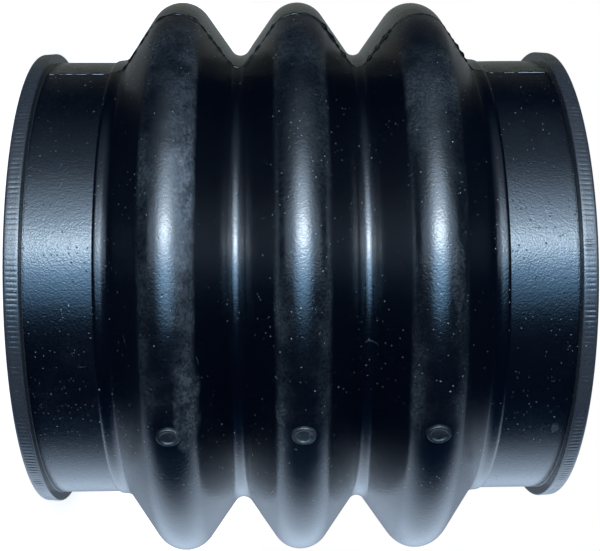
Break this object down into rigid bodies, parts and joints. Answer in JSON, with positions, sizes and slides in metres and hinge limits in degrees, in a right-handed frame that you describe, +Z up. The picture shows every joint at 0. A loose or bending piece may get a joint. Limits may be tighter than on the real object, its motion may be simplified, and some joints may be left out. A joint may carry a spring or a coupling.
{
  "type": "rubber bellows boot",
  "caption": "Moulded rubber bellows sleeve with rounded convolutions between two clamped cuffs, joining two pipe ends while letting them move.",
  "frame": {"origin": "on the boot's axis, in the plane of its lower end face, so the boot stands on that end", "axes": "+Z up along the boot's axis, from the lower cuff to the upper cuff; -Y towards the row of moulded buttons on the crests; the mould's parting plane is XZ"},
  "size_m": [0.172, 0.1729, 0.1572],
  "materials": {
    "black_rubber": "satin moulded rubber, nearly black"
  },
  "bodies": {
    "root": {"bellows_boot": "black_rubber"}
  },
  "joints": []
}
